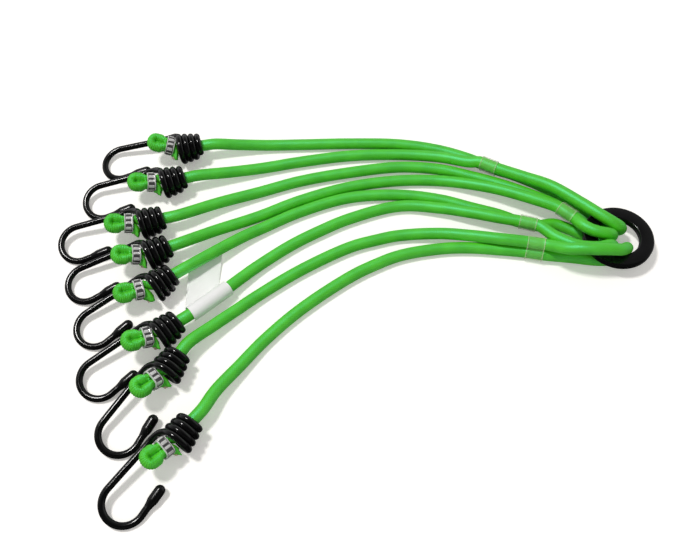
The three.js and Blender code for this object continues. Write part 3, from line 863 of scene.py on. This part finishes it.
def cap_profile():
    """Dipped cap: swells out of the wire, runs straight and ends in a dome."""
    start = WIRE_RADIUS + CAP_LIP
    profile = []
    for share in np.linspace(0.0, 1.0, CAP_SWELL_ROWS):
        radius = start + (CAP_RADIUS - start) * smooth_share(share, 0.0, 1.0)
        profile.append((radius, -CAP_DEPTH + CAP_SWELL_RUN * share))
    dome_middle = CAP_END_WALL - CAP_RADIUS
    for angle in np.radians(np.linspace(0.0, CAP_DOME_END, CAP_DOME_ROWS)):
        profile.append((CAP_RADIUS * math.cos(angle), dome_middle + CAP_RADIUS * math.sin(angle)))
    return profile


wire_line = hook_line()
wire_radii = np.full(len(wire_line), WIRE_RADIUS)
wire_radii[0] *= WIRE_CUT_END
wire_grid = tube_grid(wire_line, wire_radii, WIRE_SIDES)
wire_along = arc_lengths(wire_line)
tip = Vector(wire_line[-1])
tip_run = (tip - Vector(wire_line[-3])).normalized()
cap_matrix = Matrix.Translation(tip) @ tip_run.to_track_quat("Z", "Y").to_matrix().to_4x4()
for arm, seat in SEATS.items():
    hook = tube_object(f"hook_wire_{arm}", turned(seat, wire_grid), wire_along, WIRE_COAT)
    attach(hook, f"hook_{arm}")
    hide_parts(f"hook_{arm}")
    cap_place = seat @ cap_matrix
    cap = lathe_object(f"hook_cap_{arm}", cap_profile(), CAP_SEGMENTS, cap_place, CAP_COAT, closed=False)
    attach(cap, f"hook_{arm}")
    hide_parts(f"hook_tip_cap_{arm}")


# Folded cord ends, crimps and the cut cores

def loop_matrix(arm):
    _, _, turn, lift = ARM_ENDS[arm]
    return Matrix.Rotation(math.radians(turn), 4, "Z") @ Matrix.Rotation(math.radians(-lift), 4, "Y")


def cord_end_line(arm):
    """Centre line of a folded end: out of the coil, through the crimp, round the bulb, to the tail."""
    crimp = ARM_ENDS[arm][1]
    half = CRIMP_LENGTH / 2
    grip = half + GRIP_MARGIN
    flat = [(along, -LOOP_OFFSET, 0) for along in (crimp - grip, crimp, crimp + grip)]
    for step in range(END_BEND_STEPS + 1):
        angle = -math.pi / 2 + math.pi * step / END_BEND_STEPS
        flat.append((crimp + LOOP_LENGTH + LOOP_OFFSET * math.cos(angle), LOOP_OFFSET * math.sin(angle), 0))
    flat += [(along, LOOP_OFFSET, 0) for along in (crimp + grip, crimp, crimp - half)]
    tail = (TAIL_CLEARANCE + crimp - half) / 2 - TAIL_BACK
    flat.append((tail, LOOP_OFFSET + TAIL_SPLAY, -TAIL_DROP))
    points = [(-back * COIL_LENGTH, -aside * LOOP_OFFSET, 0) for back, aside in END_IN_COIL]
    turn = loop_matrix(arm)
    points += [turn @ Vector(point) for point in flat]
    return even_line(smooth_curve(points, END_SPAN_STEPS), END_STEP)


def filled(height, level, share):
    """Heights on both faces moved out to the level, by a share."""
    return height + share * np.sign(height) * np.maximum(level - np.abs(height), 0.0)


def held_by_coil(grid):
    """Keeps points inside the coil's wire clear of it."""
    coil_share = np.clip(1 + grid[..., 0] / (COIL_TURNS * WIRE_PITCH), 0.0, 1.0)
    off_axis = math.hypot(COIL_SIDE_SHIFT, COIL_RISE) * coil_share
    room = coil_radius(coil_share) - off_axis - WIRE_RADIUS - COIL_CLEARANCE
    room = room + COIL_FREE_ROOM * smooth_share(grid[..., 0], *COIL_PRESS_END)
    reach = np.maximum(np.hypot(grid[..., 1], grid[..., 2]), 1e-6)
    held = grid.copy()
    held[..., 1:] *= np.minimum(1.0, room / reach)[..., None]
    return held


def squeezed(arm, line, grid):
    """Presses a folded end: legs together in the crimp, bulb closed round its dimple, tail flat."""
    crimp = ARM_ENDS[arm][1]
    half = CRIMP_LENGTH / 2
    to_coil = loop_matrix(arm)
    flat = turned(to_coil.inverted(), grid)
    middle = turned(to_coil.inverted(), line)
    last_grip = np.max(np.nonzero(middle[:, 0] > crimp))
    tail_room = (crimp - half - TAIL_CLEARANCE) / (2 * CORD_RADIUS)
    tail_scale = min(1.0, TAIL_FULLNESS * tail_room)
    tail_middle = middle[last_grip:, None, 0]
    flat[last_grip:, :, 0] = tail_middle + (flat[last_grip:, :, 0] - tail_middle) * tail_scale
    past_bend = np.maximum(flat[..., 0] - crimp - LOOP_LENGTH, 0.0)
    flat[..., 0] -= past_bend * (1 - LOOP_END_SQUASH)
    ahead = flat[..., 0] - crimp - half
    behind = crimp - half - flat[..., 0]
    grip = 1 - np.maximum(smooth_share(ahead, *GRIP_AHEAD), smooth_share(behind, *GRIP_BEHIND))
    loose = LOOP_SQUEEZE + (1 - LOOP_SQUEEZE) * smooth_share(behind, 0.0, TAIL_LOOSE_RUN)
    flat[..., 1] *= loose + (CRIMP_SQUEEZE - loose) * grip
    aside = np.abs(flat[..., 1])
    past_seam = smooth_share(ahead, *SEAM_END)
    seam = (1 - smooth_share(aside, 0.0, SEAM_WIDTH)) * smooth_share(ahead, *SEAM_START) * (1 - past_seam)
    flat[..., 2] = filled(flat[..., 2], SEAM_FILL, seam)
    dimple = (1 - smooth_share(aside, 0.0, DIMPLE_WIDTH)) * past_seam
    dimple *= 1 - smooth_share(ahead, *DIMPLE_END)
    flat[..., 2] = filled(flat[..., 2], DIMPLE_FILL, dimple)
    return held_by_coil(turned(to_coil, flat))


def rounded_box(half_width, half_height, corner, corner_steps, side_steps):
    """Closed outline of a box with round corners, as points and outward directions."""
    points = []
    outward = []
    quarters = ((1, 1), (-1, 1), (-1, -1), (1, -1))
    for quarter, (right, up) in enumerate(quarters):
        for step in range(corner_steps + 1):
            angle = math.pi / 2 * (quarter + step / corner_steps)
            points.append((right * (half_width - corner) + corner * math.cos(angle),
                           up * (half_height - corner) + corner * math.sin(angle)))
            outward.append((math.cos(angle), math.sin(angle)))
        ahead = quarters[(quarter + 1) % 4]
        last = points[-1]
        angle = math.pi / 2 * (quarter + 1)
        goal = (ahead[0] * (half_width - corner) + corner * math.cos(angle),
                ahead[1] * (half_height - corner) + corner * math.sin(angle))
        for step in range(1, side_steps):
            share = step / side_steps
            points.append((last[0] + (goal[0] - last[0]) * share, last[1] + (goal[1] - last[1]) * share))
            outward.append((math.cos(angle), math.sin(angle)))
    return np.array(points), np.array(outward)


def crimp_object(arm, seat):
    """Band with a rim at each edge and a row of raised rectangular ridges, with painted shade between the
    ridges and at the step up to the rim.
    """
    half_width = (LOOP_OFFSET + CORD_RADIUS) * CRIMP_SQUEEZE + CRIMP_CLEARANCE
    half_height = CORD_RADIUS + CRIMP_CLEARANCE
    corner = CRIMP_CORNER * half_height
    outline, outward = rounded_box(half_width, half_height, corner, CRIMP_CORNER_STEPS, CRIMP_SIDE_STEPS)
    walk = arc_lengths(np.concatenate([outline, outline[:1]]))
    phase = walk[:-1] / walk[-1] * CRIMP_RIDGES
    gap = np.abs(phase - np.floor(phase) - 0.5) * 2
    pads = 1 - smooth_share(gap, *RIDGE_EDGE)
    half = CRIMP_LENGTH / 2
    rows = []
    recess_shade = []
    for side, places in ((-1, CRIMP_ROWS[::-1]), (1, CRIMP_ROWS)):
        for share, lift, ridge, between, shade_all_round in places:
            reach = CRIMP_WALL + lift + ridge * CRIMP_RIDGE * pads
            band = outline + outward * reach[:, None]
            rows.append(np.column_stack([np.full(len(pads), side * share * half), band]))
            # Painted shade between the ridges, and all round at the step up to the rim
            recess_shade.append(between * (1 - pads) + shade_all_round)
    for side in (1, -1):
        rows.append(np.column_stack([np.full(len(pads), side * half), outline]))
        recess_shade.append(np.zeros(len(pads)))
    faces = flipped(grid_faces(len(rows), len(pads)) + closing_faces(len(rows), len(pads)))
    uv = value_uv(np.concatenate(recess_shade), faces)
    place = seat @ loop_matrix(arm) @ Matrix.Translation((ARM_ENDS[arm][1], 0, 0))
    return mesh_object(f"crimp_band_{arm}", turned(place, rows), faces, CHROME, uv, sharp=CRIMP_SHARP_ANGLE)


def circle_spots(radius, count):
    angles = [2 * math.pi * step / count for step in range(count)]
    return [(radius * math.cos(angle), radius * math.sin(angle)) for angle in angles]


def strand_bundle(name, end, run, material):
    """Cut end of the core: a bundle of thin round strands just proud of the sheath."""
    side = np.cross(run, (0.0, 0.0, 1.0))
    side /= np.linalg.norm(side)
    up = np.cross(run, side)
    spots = [(0.0, 0.0)]
    for ring, count in STRAND_RINGS:
        spots += circle_spots(ring * STRAND_RADIUS, count)
    places = []
    faces = []
    for index, (x, y) in enumerate(spots):
        proud = STRAND_PROUD + STRAND_UNEVEN * math.sin(STRAND_UNEVEN_STEP * index)
        rings = (
            (-STRAND_INSET, STRAND_RADIUS),
            (proud, STRAND_RADIUS),
            (proud + STRAND_TIP, STRAND_TIP_SHARE * STRAND_RADIUS),
        )
        base = len(places)
        for reach, radius in rings:
            for right, above in circle_spots(radius, STRAND_SIDES):
                places.append(end + run * reach + side * (x + right) + up * (y + above))
        strand = grid_faces(len(rings), STRAND_SIDES) + end_faces(len(rings), STRAND_SIDES)
        faces += [tuple(base + corner for corner in face) for face in flipped(strand)]
    return mesh_object(name, places, faces, material)


for arm, seat in SEATS.items():
    line = cord_end_line(arm)
    along = arc_lengths(line)
    beyond_crimp = turned(loop_matrix(arm).inverted(), line)[:, 0] - ARM_ENDS[arm][1] - CRIMP_LENGTH / 2
    bulb = smooth_share(beyond_crimp, 0.0, BULB_START_RUN)
    pitch = RIB_PITCH + (BULB_RIB_PITCH - RIB_PITCH) * bulb
    depth = RIB_DEPTH + (BULB_RIB_DEPTH - RIB_DEPTH) * bulb
    ribs = np.cos(2 * math.pi * np.cumsum(END_STEP / pitch))
    radii = CORD_RADIUS + BULB_SWELL * bulb - depth + depth * ribs
    radii[-TAIL_ROUND_ROWS:] *= np.sqrt(1 - np.linspace(*TAIL_ROUND, TAIL_ROUND_ROWS) ** 2)
    shaped = turned(seat, squeezed(arm, line, tube_grid(line, radii, CORD_SIDES)))
    piece = tube_object(f"cord_end_loop_{arm}", shaped, along, BRAID)
    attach(piece, f"cord_end_{arm}")
    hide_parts(f"cord_end_sheath_{arm}")
    band = crimp_object(arm, seat)
    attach(band, f"cord_end_{arm}")
    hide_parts(f"crimp_{arm}")
    tail = shaped[-TAIL_AIM_ROWS:].mean(axis=1)
    run = tail[-1] - tail[0]
    run /= np.linalg.norm(run)
    strands = strand_bundle(f"cord_end_strands_{arm}", tail[-1], run, CORE)
    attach(strands, f"cord_end_{arm}")
    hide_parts(f"cord_end_core_{arm}")


# Ring

def ring_profile():
    """Rounded rectangle between bore and rim, as (radius, height) points in order."""
    top = RING_THICKNESS / 2 - RING_EDGE
    rim = RING_OUTER - RING_EDGE
    bore = RING_BORE + RING_EDGE
    profile = []
    for radius, height, start in ((rim, top, 0), (bore, top, 90), (bore, -top, 180), (rim, -top, 270)):
        for step in range(RING_EDGE_STEPS + 1):
            angle = math.radians(start + 90 * step / RING_EDGE_STEPS)
            profile.append((radius + RING_EDGE * math.cos(angle), height + RING_EDGE * math.sin(angle)))
    return profile


ring_low, ring_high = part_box("ring")
ring_place = Matrix.Translation((ring_low + ring_high) / 2)
ring = lathe_object("centre_ring", ring_profile(), RING_SEGMENTS, ring_place, RING_COAT, closed=True)
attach(ring, "ring")
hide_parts("ring")


# Sleeves

def slot_outline(half_straight, radius, steps):
    points = []
    for side in (1, -1):
        for step in range(steps + 1):
            angle = -math.pi / 2 + math.pi * step / steps + (0 if side > 0 else math.pi)
            points.append((side * half_straight + radius * math.cos(angle), radius * math.sin(angle)))
    return np.array(points)


for name in SLEEVES:
    bore = CORD_RADIUS + SLEEVE_CLEARANCE
    half = SLEEVE_LENGTH / 2
    rows = []
    for radius, start in ((bore + SLEEVE_WALL, -half), (bore, half)):
        outline = slot_outline(LEG_OFFSET, radius, SLEEVE_ROUND_STEPS)
        for place in np.linspace(start, -start, SLEEVE_ROWS):
            rows.append(np.column_stack([np.full(len(outline), place), outline]))
    grid = np.array(rows)
    count, columns = grid.shape[:2]
    faces = flipped(grid_faces(count, columns) + closing_faces(count, columns))
    uv = value_uv(np.abs(grid[..., 0]).ravel() / half, faces)
    sleeve = mesh_object(f"clear_sleeve_{name}", turned(sleeve_matrix(name), grid), faces, CLEAR, uv)
    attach(sleeve, "cord_set")
    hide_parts(f"sleeve_{name}")


# Tag, folded over one arm, with a flag that starts at the table and rises towards its far end

def tag_row(line, index, flag_run):
    """One line of the tag across the arm: round the cord, down to the table and out along the flag."""
    middle = line[index]
    run = line[index + TAG_AIM_STEPS] - line[index - TAG_AIM_STEPS]
    run /= np.linalg.norm(run)
    side = np.array((-run[1], run[0], 0.0))
    side /= np.linalg.norm(side)
    top = np.cross(run, side)
    points = []
    for angle in np.radians(np.linspace(*TAG_FOLD, TAG_FOLD_STEPS)):
        points.append(middle + side * (TAG_RADIUS * math.cos(angle)) + top * (TAG_RADIUS * math.sin(angle)))
    foot = middle + side * TAG_FLAG_START
    foot[2] = TAG_TABLE_GAP - LAYOUT_MIDDLE.z
    for share in np.linspace(0.0, 1.0, TAG_FLAG_STEPS):
        rise = np.array((0.0, 0.0, TAG_FLAG_RISE * share ** TAG_FLAG_CURL))
        points.append(foot + flag_run * TAG_FLAG_REACH * share + rise)
    return smooth_curve(points, TAG_SPAN_STEPS)


def tag_object():
    """The tag as one thick sheet, with its mean length along the fold."""
    heading = math.radians(TAG_FLAG_HEADING)
    flag_run = np.array((math.cos(heading), math.sin(heading), 0.0))
    rows = []
    for along in np.arange(TAG_ROWS) / (TAG_ROWS - 1):
        index = int((TAG_START + TAG_WIDTH * along) / CORD_STEP)
        rows.append(tag_row(arm_lines[TAG_ARM], index, flag_run))
    grid = np.array(rows)
    normal = np.cross(np.gradient(grid, axis=0), np.gradient(grid, axis=1))
    normal *= TAG_THICKNESS / 2 / np.linalg.norm(normal, axis=2)[:, :, None]
    count, columns = grid.shape[:2]
    upper = np.arange(count * columns).reshape(count, columns)
    lower = upper + count * columns
    faces = strip_faces(upper[:, 0], lower[:, 0]) + strip_faces(lower[:, -1], upper[:, -1])
    faces += strip_faces(lower[0], upper[0]) + strip_faces(upper[-1], lower[-1])
    for row in range(count - 1):
        faces += strip_faces(upper[row], upper[row + 1]) + strip_faces(lower[row + 1], lower[row])
    piece = mesh_object("label_tag", [grid + normal, grid - normal], faces, FILM)
    length = float(np.mean([arc_lengths(row)[-1] for row in grid]))
    return piece, length


tag, tag_length = tag_object()
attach(tag, f"cord_end_{TAG_ARM}")
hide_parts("tag")


# Stage: white floor that keeps the shadow, soft key from the upper left, white surroundings

def floor_surface():
    """Pale floor that glows a little to the camera near the object and turns white far from it."""
    material = bpy.data.materials.new("floor")
    material.use_nodes = True
    tree = material.node_tree
    tree.nodes.remove(tree.nodes["Principled BSDF"])
    diffuse = add_node(tree, "ShaderNodeBsdfDiffuse")
    diffuse.inputs["Color"].default_value = FLOOR_COLOUR
    glow = add_node(tree, "ShaderNodeEmission")
    glow.inputs["Color"].default_value = GLOW_COLOUR
    distance = add_node(tree, "ShaderNodeVectorMath", operation="LENGTH")
    tree.links.new(add_node(tree, "ShaderNodeNewGeometry").outputs["Position"], distance.inputs[0])
    level = range_node(tree, distance.outputs["Value"], low=0.28, high=1.0, start=0.18, stop=1.6)
    path = add_node(tree, "ShaderNodeLightPath").outputs
    pale_ray = math_node(tree, "MAXIMUM", path["Is Camera Ray"], path["Is Transmission Ray"])
    tree.links.new(math_node(tree, "MULTIPLY", pale_ray, level), glow.inputs["Strength"])
    both = add_node(tree, "ShaderNodeAddShader")
    tree.links.new(diffuse.outputs[0], both.inputs[0])
    tree.links.new(glow.outputs[0], both.inputs[1])
    tree.links.new(both.outputs[0], tree.nodes["Material Output"].inputs["Surface"])
    return material


floor_mesh = bpy.data.meshes.new("floor")
floor_corners = [(FLOOR_HALF * x, FLOOR_HALF * y, 0) for x, y in ((-1, -1), (1, -1), (1, 1), (-1, 1))]
floor_mesh.from_pydata(floor_corners, [], [(0, 1, 2, 3)])
floor_mesh.materials.append(floor_surface())
floor = bpy.data.objects.new("floor", floor_mesh)
bpy.context.scene.collection.objects.link(floor)
floor.visible_glossy = False


def light_surroundings():
    """White to the camera, even ambient light, and for reflections a pale band low at the rear."""
    world = bpy.data.worlds.new("surroundings")
    bpy.context.scene.world = world
    world.use_nodes = True
    tree = world.node_tree
    background = tree.nodes["Background"]
    background.inputs["Color"].default_value = (1.0, 1.0, 1.0, 1.0)
    direction = add_node(tree, "ShaderNodeSeparateXYZ")
    tree.links.new(add_node(tree, "ShaderNodeTexCoord").outputs["Generated"], direction.inputs[0])
    ceiling = range_node(tree, direction.outputs["Z"], low=0.9, high=0.12, start=0.10, stop=0.85)
    ground = range_node(tree, direction.outputs["Z"], low=0.2, high=1.0, start=-0.25, stop=0.0)
    rear = range_node(tree, direction.outputs["Y"], low=0.1, high=1.0, start=-0.3, stop=0.3)
    reflected = math_node(tree, "MULTIPLY", math_node(tree, "MULTIPLY", ceiling, ground), rear)
    path = add_node(tree, "ShaderNodeLightPath").outputs
    shiny = math_node(tree, "MAXIMUM", path["Is Glossy Ray"], path["Is Transmission Ray"])
    reflected = math_node(tree, "MULTIPLY", shiny, reflected)
    ambient = math_node(tree, "MULTIPLY", math_node(tree, "SUBTRACT", 1.0, shiny), AMBIENT)
    unseen = math_node(tree, "ADD", reflected, ambient)
    strength = math_node(tree, "MAXIMUM", path["Is Camera Ray"], unseen)
    tree.links.new(strength, background.inputs["Strength"])


def area_light(name, place, size, watts, colour, shows):
    """A square lamp aimed at the middle of the part. shows says whether reflections show it."""
    data = bpy.data.lights.new(name, "AREA")
    data.shape = "SQUARE"
    data.size = size
    data.energy = watts
    data.color = colour
    lamp = bpy.data.objects.new(name, data)
    lamp.location = place
    lamp.rotation_euler = (-Vector(place)).to_track_quat("-Z", "Y").to_euler()
    lamp.visible_glossy = shows
    bpy.context.scene.collection.objects.link(lamp)


light_surroundings()
area_light("key", place=(-0.94, 0.32, 2.40), size=0.36, watts=40.0, colour=(1.0, 0.99, 0.97), shows=True)
area_light("front", place=(0.1, -1.5, 1.5), size=1.0, watts=4.0, colour=(1.0, 1.0, 1.0), shows=False)

bpy.context.scene.view_settings.view_transform = "Standard"
